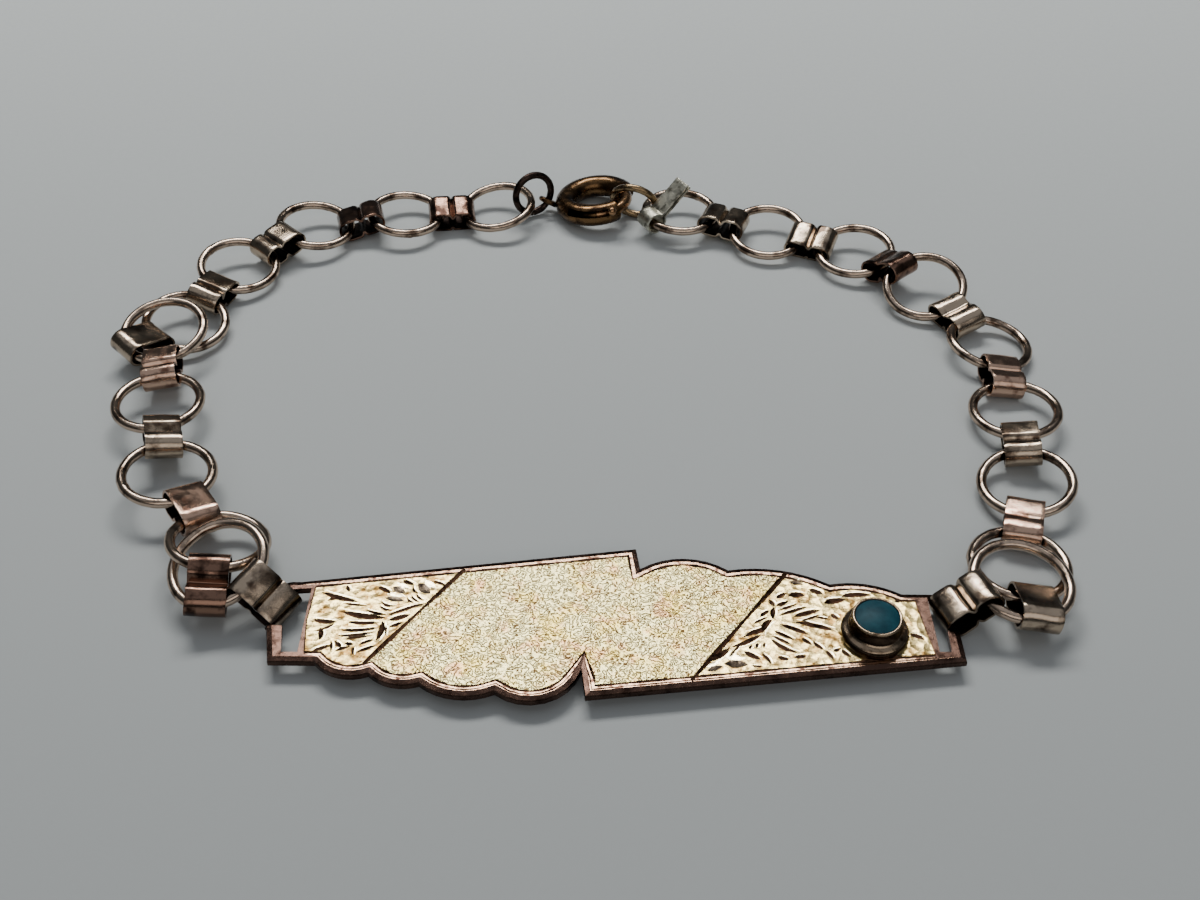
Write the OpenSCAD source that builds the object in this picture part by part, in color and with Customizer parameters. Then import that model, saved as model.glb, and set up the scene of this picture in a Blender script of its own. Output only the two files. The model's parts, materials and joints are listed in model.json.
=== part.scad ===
// Nameplate bracelet: an engraved plate with a turquoise, joined into a loop by soldered wire rings,
// folded sheet straps and a spring-ring clasp. It lies closed on a flat surface. Millimetres, +Z up.

/* [Rings] */
// Outside diameter of a chain ring
ring_od = 6.0; // [5.98:0.01:6.01]
// Diameter of the ring wire
ring_wire = 0.65; // [0.6:0.01:0.66]

/* [Straps] */
// Distance between the two barrel axes of a strap
strap_pitch = 1.93; // [1.92:0.01:1.94]
// Width of the strap sheet
strap_w = 2.24; // [2.1:0.01:2.26]
// Outside diameter of a strap barrel
barrel_od = 1.70; // [1.69:0.01:1.71]
// Thickness of the strap sheet
strap_sheet = 0.16; // [0.15:0.01:0.16]
// Radius of the valley between the two barrels
valley_r = 0.42; // [0.36:0.02:0.46]
// Width of the open strap's sheet
open_w = 1.5; // [1.4:0.05:1.6]
// Length of the flat tail of the open strap
tail_len = 2.9; // [2.4:0.1:3.2]
// Thickness of that tail, two sheets pressed together
tail_t = 0.44; // [0.36:0.02:0.5]

/* [Nameplate] */
// Thickness of the plate
plate_t = 0.42; // [0.36:0.02:0.46]
// Height of the plate's underside above the surface
plate_lift = 0.64; // [0.63:0.01:0.65]
// Diameter of the worn bars that the straps ride on
bar_d = 0.35; // [0.3:0.01:0.36]

/* [Stone and bezel] */
// Radius of the bezel's foot
foot_r = 1.85; // [1.75:0.05:1.95]
// Radius of the bezel cup
cup_r = 1.38; // [1.36:0.01:1.45]
// Height of the bezel above the plate
cup_h = 1.5; // [1.4:0.05:1.7]
// Radius of the stone
stone_r = 1.18; // [1.1:0.02:1.2]
// Height of the stone's dome above its edge
dome_h = 0.26; // [0.2:0.02:0.4]

/* [Clasp] */
// Radius of the clasp's centreline
clasp_r = 2.38; // [2.37:0.005:2.39]
// Outside diameter of the clasp tube
tube_od = 1.69; // [1.66:0.01:1.7]
// Bore of the clasp tube
tube_bore = 1.0; // [1:0.01:1.02]
// Diameter of the sliding bolt
bolt_d = 0.9; // [0.86:0.01:0.9]
// Radius of the ball on the bolt's thumb knob
knob_r = 0.34; // [0.3:0.01:0.36]
// Centreline radius of the lug
lug_r = 0.62; // [0.61:0.01:0.63]
// Diameter of the lug's wire
lug_wire = 0.4; // [0.36:0.02:0.4]

/* [Jump rings] */
// Centreline radius of the dark eye ring
eye_r = 1.52; // [1.51:0.01:1.53]
// Wire diameter of the eye ring
eye_wire = 0.56; // [0.52:0.01:0.57]
// Centreline radius of the ring that the clasp holds
end_r = 1.68; // [1.67:0.01:1.69]
// Wire diameter of that ring
end_wire = 0.58; // [0.54:0.01:0.59]

/* [Hidden] */
$fn = 64;
RINGS = 19;
STRAPS = 20;
OPEN_STRAP = 11;
middle = [-1.646, 5.319, -0.072];      // the point of the layout that becomes the origin
fit_gap = 0.03;                       // clearance round and under the stone
crease = 0.01;                        // how far a valley circle bites into the barrels
ring_r = (ring_od - ring_wire) / 2;   // centreline radius of a chain ring
barrel_r = barrel_od / 2;
// Height of the valley circle's centre, where it would just touch both barrels
valley_y = sqrt(pow(barrel_r + valley_r, 2) - pow(strap_pitch / 2, 2));
// A strap's barrel is centred on the held wire halfway between the wire's middle and its ends
held_inset = (ring_r - sqrt(ring_r * ring_r - strap_w * strap_w / 4)) / 2;

// How each ring lies: centre x, y, z, lean from flat in degrees, direction of its raised side
RING_POSE = [
    [-21.45, -11.90, 2.15, 16, 50],
    [-21.90, -9.90, 1.90, 15.5, -125],
    [-26.25, -4.05, 1.75, 5.5, -164],
    [-28.55, 2.90, 1.55, 1.5, -148],
    [-29.80, 10.05, 1.95, 11, 82],
    [-28.95, 12.15, 1.10, 11, 136],
    [-26.60, 19.00, 1.15, 10, 142],
    [-21.75, 24.25, 1.25, 8.5, 167],
    [-15.05, 26.00, 1.15, 4.5, 168],
    [-8.00, 26.90, 1.25, 9, 30],
    [6.20, 26.10, 1.30, 2.5, 141],
    [12.80, 23.65, 1.05, 9, 76],
    [19.05, 21.00, 1.10, 7.5, 47],
    [23.35, 16.00, 1.40, 19, 68],
    [26.80, 10.05, 0.85, 7.5, -179],
    [26.90, 2.75, 1.00, 4, -35],
    [26.00, -4.15, 1.10, 9, 9],
    [24.05, -10.85, 0.95, 1, -102],
    [23.50, -12.95, 1.85, 5, 124],
];

// Straps folded against their neighbours: number, direction on the first ring, on the second,
// share of the second ring's direction in the strap's own
FOLDED = [
    [2, -98, -88, 0.6],
    [6, -143, -129, 0.5],
    [19, -91, -80, 0.5],
];

// Straps on the plate: number, ring, direction on the ring, point on the plate's bar,
// direction of the bar, share of the bar in the strap's own direction
ON_PLATE = [
    [1, 1, -34, [-17.85, -14.05, 0.85], 78, 0.3],
    [20, 19, -159, [19.35, -14.5, 0.85], 92, 0.4],
];

// The open strap: direction on its ring, compass direction and rise of its tail
open_on = 208;
tail_turn = 30;
tail_rise = 40;

// Frames: a frame is [point, x axis, y axis, z axis]
function unit(v) = v / norm(v);

module on_frame(f) {
    multmatrix([
        [f[1].x, f[2].x, f[3].x, f[0].x],
        [f[1].y, f[2].y, f[3].y, f[0].y],
        [f[1].z, f[2].z, f[3].z, f[0].z],
        [0, 0, 0, 1]
    ])
        children();
}

module in_place() {
    translate(-middle)
        children();
}

module torus(r, wire) {
    rotate_extrude()
        translate([r, 0])
            circle(d = wire);
}

// Chain rings
function ring_centre(i) = [RING_POSE[i - 1][0], RING_POSE[i - 1][1], RING_POSE[i - 1][2]];
function ring_lean(i) = RING_POSE[i - 1][3];
function ring_raised(i) = RING_POSE[i - 1][4];
function ring_normal(i) = [
    -sin(ring_lean(i)) * cos(ring_raised(i)),
    -sin(ring_lean(i)) * sin(ring_raised(i)),
    cos(ring_lean(i))
];

// From a ring's centre towards a compass direction, within the ring's own plane
function ring_radial(i, dir) =
    let (d = [cos(dir), sin(dir), 0], n = ring_normal(i))
    unit(d - (d * n) * n);

function held_point(i, dir) = ring_centre(i) + (ring_r - held_inset) * ring_radial(i, dir);
function held_tangent(i, dir) = cross(ring_normal(i), ring_radial(i, dir));

module chain_ring(i) {
    color("rosybrown")
        in_place()
            translate(ring_centre(i))
                rotate([0, 0, ring_raised(i)])
                    rotate([0, -ring_lean(i), 0])
                        torus(ring_r, ring_wire);
}

// Straps
function strap_frame(a, ta, b, tb, share) =
    let (
        x = unit(b - a),
        t = (1 - share) * ta + share * (ta * tb < 0 ? -tb : tb),
        z = unit(t - (t * x) * x)
    )
    [(a + b) / 2, x, cross(z, x), z];

function direction(i, j) =
    let (d = ring_centre(j) - ring_centre(i))
    atan2(d.y, d.x);

// How strap k is held: direction on its first ring, on its second, share of the second
function strap_hold(k) =
    let (folded = [for (f = FOLDED) if (f[0] == k) [f[1], f[2], f[3]]])
    len(folded) > 0 ? folded[0] : [direction(k - 1, k), direction(k, k - 1), 0.5];

function chain_strap_frame(k) =
    let (h = strap_hold(k))
    strap_frame(
        held_point(k - 1, h[0]), held_tangent(k - 1, h[0]),
        held_point(k, h[1]), held_tangent(k, h[1]),
        h[2]
    );

function plate_strap_frame(p) =
    strap_frame(
        held_point(p[1], p[2]), held_tangent(p[1], p[2]),
        p[3], [cos(p[4]), sin(p[4]), 0],
        p[5]
    );

// Two barrels and the waist between them, for a given barrel radius and valley radius
module strap_outline(r, valley) {
    waist_y = valley_y * r / (barrel_r + valley_r);
    difference() {
        union() {
            for (side = [-1, 1])
                translate([side * strap_pitch / 2, 0])
                    circle(r);
            square([strap_pitch, 2 * waist_y], center = true);
        }
        for (side = [-1, 1])
            translate([0, side * valley_y])
                circle(valley + crease);
    }
}

module strap_body(f) {
    color("rosybrown")
        in_place()
            on_frame(f)
                linear_extrude(strap_w, center = true)
                    difference() {
                        strap_outline(barrel_r, valley_r);
                        strap_outline(barrel_r - strap_sheet, valley_r + strap_sheet);
                    }
}

// The strap whose second barrel is gone: one barrel and a flat tail that stands up
module open_strap() {
    x = [cos(tail_rise) * cos(tail_turn), cos(tail_rise) * sin(tail_turn), sin(tail_rise)];
    t = held_tangent(OPEN_STRAP, open_on);
    z = unit(t - (t * x) * x);
    color("gainsboro")
        in_place()
            on_frame([held_point(OPEN_STRAP, open_on), x, cross(z, x), z])
                linear_extrude(open_w, center = true)
                    difference() {
                        union() {
                            circle(barrel_r);
                            translate([0, -tail_t / 2])
                                square([barrel_r + tail_len, tail_t]);
                        }
                        circle(barrel_r - strap_sheet);
                    }
}

module strap(k) {
    on_plate = [for (p = ON_PLATE) if (p[0] == k) p];
    if (k == OPEN_STRAP)
        open_strap();
    else if (len(on_plate) > 0)
        strap_body(plate_strap_frame(on_plate[0]));
    else
        strap_body(chain_strap_frame(k));
}

// Nameplate, drawn round its own origin
plate_origin = [0.7, -15.15];
bezel_at = [14.2, -0.95];
seat_h = 0.85;                        // depth of the stone's seat above the plate
ARC_STEPS = 10;

// Points on an arc from a to b that bows out to the left of the way from a to b
function bow(a, b, rise) =
    let (
        half = norm(b - a) / 2,
        r = (half * half + rise * rise) / (2 * rise),
        left = [a.y - b.y, b.x - a.x] / (2 * half),
        c = (a + b) / 2 - left * (r - rise),
        start = atan2(a.y - c.y, a.x - c.x),
        sweep = 2 * asin(half / r)
    )
    [for (k = [0:ARC_STEPS]) c + r * [cos(start - sweep * k / ARC_STEPS), sin(start - sweep * k / ARC_STEPS)]];

// Clockwise from the lower left corner: left end, stepped upper edge, right end, scalloped lower edge
plate_outline = concat(
    [[-18.5, -2.8], [-19.0, -0.3], [-18.75, 2.62]],
    bow([-18.7, 2.8], [-17.55, 2.94], 0.1),
    [[1.4, 5.5]],
    bow([1.6, 3.95], [6.62, 3.83], 0.85),
    bow([6.62, 3.83], [12.27, 2.75], 0.55),
    bow([12.27, 2.75], [16.2, 2.0], 0.4),
    bow([18.1, 1.98], [18.95, 1.8], 0.12),
    [[18.92, -2.83], [-1.48, -5.15], [-1.7, -3.4]],
    bow([-1.7, -3.4], [-6.24, -4.76], 1.3),
    bow([-6.24, -4.76], [-10.25, -4.23], 0.6),
    bow([-10.25, -4.23], [-13.0, -3.57], 0.42),
    bow([-13.0, -3.57], [-15.96, -2.83], 0.5)
);

// The slots: each leaves a strip of sheet at the plate's end and runs out where a strap rides
left_slot = [[-17.85, -2.2], [-18.1, -0.35], [-19.5, -0.3], [-19.5, 2.9], [-18.0, 2.3], [-16.9, 2.4], [-16.95, -2.2]];
right_slot = [[17.55, -2.2], [18.2, -2.2], [18.25, -0.7], [19.5, -0.7], [19.5, 1.8], [17.55, 1.75]];

// The corner above the last strap is worn thin from below
corner_wear = 0.08;
worn_corner = [18.4, 1.5];

module plate_sheet() {
    difference() {
        linear_extrude(plate_t)
            difference() {
                polygon(plate_outline);
                polygon(left_slot);
                polygon(right_slot);
            }
        translate([worn_corner.x, worn_corner.y, -plate_t])
            cube([1, 1, plate_t + corner_wear]);
    }
}

// The round bar, worn thin, on which a strap rides: it starts below the strap's middle
module worn_bar(p, below, length) {
    translate(p[3])
        rotate([0, 0, p[4]])
            rotate([0, 90, 0])
                translate([0, 0, -below])
                    cylinder(d = bar_d, h = length);
}

// Foot, step and cup, turned about the stone's axis
module bezel() {
    rotate_extrude()
        polygon([
            [0, -plate_t / 2], [foot_r, -plate_t / 2], [foot_r, 0.42], [foot_r - 0.17, 0.6],
            [foot_r - 0.27, 0.66], [cup_r + 0.1, 1.02], [cup_r, 1.08], [cup_r, cup_h - 0.1],
            [cup_r - 0.06, cup_h], [stone_r + fit_gap, cup_h], [stone_r + fit_gap, seat_h], [0, seat_h]
        ]);
}

module on_plate_top(at) {
    translate([plate_origin.x + at.x, plate_origin.y + at.y, plate_lift + plate_t])
        children();
}

module nameplate() {
    color("palegoldenrod")
        in_place()
            union() {
                translate([plate_origin.x, plate_origin.y, plate_lift])
                    plate_sheet();
                worn_bar(ON_PLATE[0], 1.6, 3.1);
                worn_bar(ON_PLATE[1], 1.6, 2.85);
                on_plate_top(bezel_at)
                    bezel();
            }
}

// A low cabochon: a drum whose top is a slice of a sphere
module turquoise() {
    edge_h = cup_h - 0.05;
    top_h = edge_h + dome_h;
    dome_r = (stone_r * stone_r + dome_h * dome_h) / (2 * dome_h);
    color("teal")
        in_place()
            on_plate_top(bezel_at)
                intersection() {
                    translate([0, 0, seat_h + fit_gap])
                        cylinder(r = stone_r, h = top_h - seat_h);
                    translate([0, 0, top_h - dome_r])
                        sphere(dome_r);
                }
}

// Clasp, drawn round the axis of its tube
clasp_at = [-0.3, 28.0, 1.17];
clasp_lean = 7;
clasp_raised = -30;
mouth_from = -53;                     // the open stretch that the bolt closes
mouth_to = 22;
bolt_from = -90;
bolt_to = 30;
knob_dir = -67;
knob_tilt = 30;                       // the knob leaves the tube upwards and outwards
knob_reach = 1.08;                    // from the bolt's centreline to the ball
post_d = 0.4;
slot_w = 0.54;
slot_from = -134;
slot_to = -60;
lug_dir = 176.5;
lug_rise = 0.145;
lug_turn = 38;
lug_tilt = 40;
lug_reach = clasp_r + tube_od / 2 + lug_r - 0.08;

module on_clasp() {
    translate(clasp_at)
        rotate([0, 0, clasp_raised])
            rotate([0, -clasp_lean, 0])
                rotate([0, 0, -clasp_raised])
                    children();
}

module clasp_arc(from, to, d) {
    rotate([0, 0, from])
        rotate_extrude(angle = to - from)
            translate([clasp_r, 0])
                circle(d = d);
}

module knob_slot() {
    rotate([0, 0, slot_from])
        rotate_extrude(angle = slot_to - slot_from)
            translate([clasp_r, 0])
                rotate(knob_tilt)
                    translate([tube_bore / 4, -slot_w / 2])
                        square([tube_od, slot_w]);
}

module lug() {
    rotate([0, 0, lug_dir])
        translate([lug_reach, 0, lug_rise])
            rotate([0, 0, lug_turn - lug_dir])
                rotate([0, lug_tilt, 0])
                    torus(lug_r, lug_wire);
}

module clasp_tube() {
    color("sienna")
        in_place()
            on_clasp()
                difference() {
                    union() {
                        clasp_arc(mouth_to, mouth_from + 360, tube_od);
                        lug();
                    }
                    torus(clasp_r, tube_bore);
                    knob_slot();
                }
}

module clasp_bolt() {
    color("peru")
        in_place()
            on_clasp() {
                clasp_arc(bolt_from, bolt_to, bolt_d);
                rotate([0, 0, knob_dir])
                    translate([clasp_r, 0, 0])
                        rotate([0, 90 - knob_tilt, 0]) {
                            cylinder(d = post_d, h = knob_reach);
                            translate([0, 0, knob_reach])
                                sphere(knob_r);
                        }
            }
}

// Jump rings: centre, compass direction and rise of the ring's axis
module jump_ring(at, turn, rise, r, wire) {
    in_place()
        translate(at)
            rotate([0, 0, turn])
                rotate([0, 90 - rise, 0])
                    torus(r, wire);
}

module clasp_eye() {
    color("dimgray")
        jump_ring([-5.2, 27.83, 1.85], 119, -6.4, eye_r, eye_wire);
}

module end_ring() {
    color("burlywood")
        jump_ring([2.66, 26.85, 1.78], 75, 22.2, end_r, end_wire);
}

nameplate();
turquoise();
for (i = [1:RINGS])
    chain_ring(i);
for (k = [1:STRAPS])
    strap(k);
clasp_tube();
clasp_bolt();
clasp_eye();
end_ring();
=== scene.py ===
# Nameplate bracelet: engraved rose gold plate with a turquoise, wire rings, folded straps, spring ring
import bpy
import bmesh
import json
import math
import numpy as np
from mathutils import Matrix, Vector, noise

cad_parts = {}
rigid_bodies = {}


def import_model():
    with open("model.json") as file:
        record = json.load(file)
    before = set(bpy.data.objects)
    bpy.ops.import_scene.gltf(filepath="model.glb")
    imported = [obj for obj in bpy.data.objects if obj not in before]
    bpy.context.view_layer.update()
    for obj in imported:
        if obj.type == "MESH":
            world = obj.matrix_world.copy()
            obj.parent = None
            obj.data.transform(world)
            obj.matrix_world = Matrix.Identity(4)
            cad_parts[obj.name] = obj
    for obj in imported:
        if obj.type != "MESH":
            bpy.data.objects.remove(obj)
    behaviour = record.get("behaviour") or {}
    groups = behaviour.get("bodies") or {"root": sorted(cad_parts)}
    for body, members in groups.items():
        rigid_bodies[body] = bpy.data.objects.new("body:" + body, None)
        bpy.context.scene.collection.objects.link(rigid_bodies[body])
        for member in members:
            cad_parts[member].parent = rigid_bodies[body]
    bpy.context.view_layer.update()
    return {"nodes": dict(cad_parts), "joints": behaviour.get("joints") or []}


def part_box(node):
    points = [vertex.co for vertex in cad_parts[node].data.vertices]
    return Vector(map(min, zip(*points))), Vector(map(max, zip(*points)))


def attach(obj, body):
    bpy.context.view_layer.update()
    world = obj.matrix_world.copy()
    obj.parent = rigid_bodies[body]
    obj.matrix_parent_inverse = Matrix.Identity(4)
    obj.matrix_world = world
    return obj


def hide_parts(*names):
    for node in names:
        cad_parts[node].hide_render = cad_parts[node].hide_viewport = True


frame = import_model()
mm = 0.001
noise.seed_set(7)  # the sheet's wobble is the same at every run

# Materials

# Sockets of the Mix node when it mixes colours
mixFactor, mixFirst, mixSecond, mixResult = 0, 6, 7, 2


def fromHex(hexColour):  # sRGB hex to the linear colour a shader takes
    parts = [int(hexColour[i:i + 2], 16) / 255 for i in (1, 3, 5)]
    return [c / 12.92 if c <= 0.04045 else ((c + 0.055) / 1.055) ** 2.4 for c in parts] + [1.0]


def addNode(tree, kind, inputs=None, **settings):  # a node with its settings, values and links
    node = tree.nodes.new(kind)
    for name, value in settings.items():
        setattr(node, name, value)
    for name, value in (inputs or {}).items():
        if isinstance(value, bpy.types.NodeSocket):
            tree.links.new(value, node.inputs[name])
        else:
            node.inputs[name].default_value = value
    return node


def newMaterial(name):  # an empty material: its tree and object coordinates
    material = bpy.data.materials.new(name)
    material.use_nodes = True
    tree = material.node_tree
    tree.nodes.clear()
    place = addNode(tree, "ShaderNodeTexCoord").outputs["Object"]
    return material, tree, place


def finishMaterial(tree, inputs):
    surface = addNode(tree, "ShaderNodeBsdfPrincipled", inputs)
    addNode(tree, "ShaderNodeOutputMaterial", {"Surface": surface.outputs["BSDF"]})


def perMm(size):  # the scale at which a noise's grain is this many millimetres across
    return 1 / (size * mm)


# Clouds of noise, this many millimetres across, stretched between two of its levels
def patches(tree, place, size, detail, rough, low, high, least=0, most=1):
    grain = addNode(tree, "ShaderNodeTexNoise", {
        "Vector": place, "Scale": perMm(size), "Detail": detail, "Roughness": rough})
    stretched = addNode(tree, "ShaderNodeMapRange", {
        "Value": grain.outputs["Fac"], "From Min": low, "From Max": high, "To Min": least, "To Max": most})
    return stretched.outputs["Result"]


# A fine noise that stands up this many millimetres
def fineRelief(tree, place, size, detail, rough, strength, height, inputs=None):
    grain = addNode(tree, "ShaderNodeTexNoise", {
        "Vector": place, "Scale": perMm(size), "Detail": detail, "Roughness": rough})
    bump = addNode(tree, "ShaderNodeBump", {
        "Height": grain.outputs["Fac"], "Strength": strength, "Distance": height * mm, **(inputs or {})})
    return bump.outputs["Normal"]


# A worn gold alloy: polished tops, tarnish in clouds, fine scratches from wear
def wornGold(name, bright, tarnish, share=0.5, roughness=(0.16, 0.36), cloud=1.6, grain=0.07,
             relief=0.012):
    material, tree, place = newMaterial(name)
    clouds = patches(tree, place, cloud, 4, 0.55, 0.62 - 0.25 * share, 0.8 - 0.3 * share)
    colour = addNode(tree, "ShaderNodeMix", {
        mixFactor: clouds, mixFirst: fromHex(bright), mixSecond: fromHex(tarnish)}, data_type="RGBA")
    finishMaterial(tree, {
        "Base Color": colour.outputs[mixResult], "Metallic": 1.0,
        "Roughness": patches(tree, place, cloud / 2, 3, 0.55, 0.35, 0.65, *roughness),
        "Normal": fineRelief(tree, place, grain, 5, 0.65, 0.6, relief)})
    return material


# The centre panel: gold matted with a graining tool, pale and warm patches under short curled tool
# marks; the marks are drawn a little coarser than the real ones, so that they show
def mattedGold(name, pale, yellow, pink, dark):
    material, tree, place = newMaterial(name)
    tint = patches(tree, place, 0.9, 3, 0.6, 0.44, 0.6)
    warm = addNode(tree, "ShaderNodeMix", {
        mixFactor: tint, mixFirst: fromHex(yellow), mixSecond: fromHex(pink)}, data_type="RGBA")
    rubbed = patches(tree, place, 1.5, 4, 0.6, 0.44, 0.62, 0, 0.8)
    skin = addNode(tree, "ShaderNodeMix", {
        mixFactor: rubbed, mixFirst: fromHex(pale), mixSecond: warm.outputs[mixResult]}, data_type="RGBA")
    swirl = addNode(tree, "ShaderNodeTexNoise", {
        "Vector": place, "Scale": perMm(0.5), "Detail": 2, "Roughness": 0.5})
    waves = addNode(tree, "ShaderNodeMath", {0: swirl.outputs["Fac"], 1: 22.0}, operation="MULTIPLY")
    curls = addNode(tree, "ShaderNodeMath", {0: waves.outputs[0]}, operation="SINE")
    depth = addNode(tree, "ShaderNodeMath", {0: curls.outputs[0]}, operation="ABSOLUTE")
    marks = addNode(tree, "ShaderNodeMapRange", {
        "Value": depth.outputs[0], "From Min": 0.15, "From Max": 0.8, "To Min": 1, "To Max": 0})
    shown = patches(tree, place, 0.4, 2, 0.55, 0.36, 0.5, 0.5, 1)
    amount = addNode(tree, "ShaderNodeMath", {0: marks.outputs["Result"], 1: shown}, operation="MULTIPLY")
    colour = addNode(tree, "ShaderNodeMix", {
        mixFactor: amount.outputs[0], mixFirst: skin.outputs[mixResult], mixSecond: fromHex(dark)},
        data_type="RGBA")
    fineGrit = addNode(tree, "ShaderNodeTexNoise", {
        "Vector": place, "Scale": perMm(0.12), "Detail": 3, "Roughness": 0.55})
    grit = addNode(tree, "ShaderNodeMath", {
        0: depth.outputs[0], 1: fineGrit.outputs["Fac"]}, operation="ADD")
    bump = addNode(tree, "ShaderNodeBump", {
        "Height": grit.outputs[0], "Strength": 0.8, "Distance": 0.018 * mm})
    finishMaterial(tree, {
        "Base Color": colour.outputs[mixResult], "Metallic": 1.0, "Roughness": 0.38,
        "Normal": bump.outputs["Normal"]})
    return material


# The side panels: gold chipped bright all over by the graver, with tarnish left in the low places
def chippedGold(name, bright, tarnish, low):
    material, tree, place = newMaterial(name)
    tarnished = patches(tree, place, 0.8, 4, 0.6, 0.45, 0.62)
    skin = addNode(tree, "ShaderNodeMix", {
        mixFactor: tarnished, mixFirst: fromHex(bright), mixSecond: fromHex(tarnish)}, data_type="RGBA")
    specks = patches(tree, place, 0.2, 3, 0.6, 0.54, 0.66, 0, 0.6)
    colour = addNode(tree, "ShaderNodeMix", {
        mixFactor: specks, mixFirst: skin.outputs[mixResult], mixSecond: fromHex(low)}, data_type="RGBA")
    chips = addNode(tree, "ShaderNodeTexVoronoi", {"Vector": place, "Scale": perMm(0.5)})
    facets = addNode(tree, "ShaderNodeBump", {
        "Height": chips.outputs["Distance"], "Strength": 1.0, "Distance": 0.06 * mm})
    finishMaterial(tree, {
        "Base Color": colour.outputs[mixResult], "Metallic": 1.0, "Roughness": 0.28,
        "Normal": fineRelief(tree, place, 0.15, 3, 0.55, 0.6, 0.02, {"Normal": facets.outputs["Normal"]})})
    return material


# Waxed turquoise: even teal with paler clouds, a soft gloss
def waxedStone(name, deep, pale, matrix):
    material, tree, place = newMaterial(name)
    clouds = patches(tree, place, 1.1, 4, 0.6, 0.4, 0.7)
    body = addNode(tree, "ShaderNodeMix", {
        mixFactor: clouds, mixFirst: fromHex(deep), mixSecond: fromHex(pale)}, data_type="RGBA")
    flecks = patches(tree, place, 0.22, 2, 0.55, 0.7, 0.78, 0, 0.5)
    colour = addNode(tree, "ShaderNodeMix", {
        mixFactor: flecks, mixFirst: body.outputs[mixResult], mixSecond: fromHex(matrix)},
        data_type="RGBA")
    finishMaterial(tree, {
        "Base Color": colour.outputs[mixResult], "Roughness": 0.5, "Specular IOR Level": 0.15,
        "Normal": fineRelief(tree, place, 0.3, 3, 0.55, 0.2, 0.01)})
    return material


# What each finish gives the eye
finishes = {
    # drawn wire, polished by the sleeve: thin bright lines that run round each ring
    "wire": wornGold("rose gold wire", "#C4AE9B", "#5E4E42", roughness=(0.07, 0.2), cloud=1.2),
    # rolled sheet: broad mirror patches, greyed where nothing rubs it
    "strap": wornGold("rose gold sheet", "#B8A692", "#54463B", 0.55, roughness=(0.08, 0.24), cloud=1.3),
    # the same sheet where wear has brought the copper up: warmer and pinker
    "rosy": wornGold("rubbed rose sheet", "#C9A893", "#7B5B4C", 0.45, roughness=(0.08, 0.24), cloud=1.1),
    # the same sheet under a brown skin: dark, with small bright places
    "brown": wornGold("browned sheet", "#86695A", "#32231D", 0.6, roughness=(0.08, 0.24), cloud=1.0),
    # the inside of a fold, never polished: oxide, painted nearly black and dull as shade
    "fold": wornGold("oxidised fold with painted shade", "#2A211E", "#0E0B0A", roughness=(0.4, 0.6), cloud=0.8),
    # the open strap's tail: a dull grey-green bloom over scratched sheet
    "tail": wornGold("greyed sheet", "#C4C2B4", "#6B695F", roughness=(0.3, 0.5), cloud=0.5,
                     grain=0.12, relief=0.03),
    # the plate's edge: brown tarnish, darkened further as painted shade for the dim room its slopes
    # mirror, with a thin gleam where it turns
    "rim": wornGold("rose gold rim darkened as painted shade", "#523F37", "#2E211C", roughness=(0.16, 0.32), cloud=0.7),
    # the flat band between the edge and the border line: rubbed pink, and painted brighter than the rim as
    # a highlight
    "ridge": wornGold("rubbed ridge with painted highlight", "#BC9A80", "#54392F", 0.55, roughness=(0.12, 0.26), cloud=0.4),
    # chipped by the graver: glittering pale gold with brown hollows
    "panel": chippedGold("chipped gold panel", "#FBE09A", "#94723F", "#3F2E1C"),
    # the flank of a bright cut: clean cut gold, painted near white as the flash of a highlight beside the
    # dark line
    "facet": wornGold("bright-cut facet with painted flash", "#FFEFC4", "#C6A770", 0.35, roughness=(0.1, 0.22), cloud=0.3),
    # a broad leaf cut with the flat of the tool: soft grey-brown, painted shade on its facets
    "leaf": wornGold("broad leaf cut with painted shade", "#7D6E5E", "#43372F", roughness=(0.24, 0.4), cloud=0.4),
    # the bottom of a cut: a dark brown line, old polish and dirt together with painted shade
    "cut": wornGold("bright-cut groove with dirt and painted shade", "#6B4E3B", "#2E1F16", 0.55, roughness=(0.26, 0.42), cloud=0.3),
    # pale gold full of curled tool marks: it sparkles in grains and mirrors nothing
    "matted": mattedGold("matted gold", "#FFF1B0", "#F7D970", "#F0B080", "#4E3820"),
    # deep teal, quiet beside the gold, with one soft light on its dome
    "stone": waxedStone("waxed turquoise", "#123B48", "#1F505D", "#0A2630"),
    # the bezel is black with age; its lip and ledge are rubbed back to gold and painted lighter as a
    # highlight
    "bezel": wornGold("blackened bezel", "#4A3B2F", "#120D0B", 0.7, roughness=(0.14, 0.3), cloud=1.4),
    "lip": wornGold("rubbed bezel lip with painted highlight", "#A08D77", "#4B3D30", roughness=(0.14, 0.3), cloud=0.8),
    # the clasp is an older, browner gold, brighter on the bolt that the thumb slides
    "clasp": wornGold("old gold tube", "#6E5439", "#2B1F17", 0.6, roughness=(0.14, 0.34), cloud=0.9),
    "bolt": wornGold("polished bolt", "#A37F5E", "#4A3528", 0.4, roughness=(0.14, 0.3), cloud=0.8),
    # the jump ring beside the clasp has gone black, the end ring has kept its colour
    "eye": wornGold("blackened wire", "#40342F", "#130E0D", 0.6, roughness=(0.2, 0.4), cloud=0.7),
    "end": wornGold("old gold wire", "#9C8464", "#443226", roughness=(0.14, 0.32), cloud=0.8),
}
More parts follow.
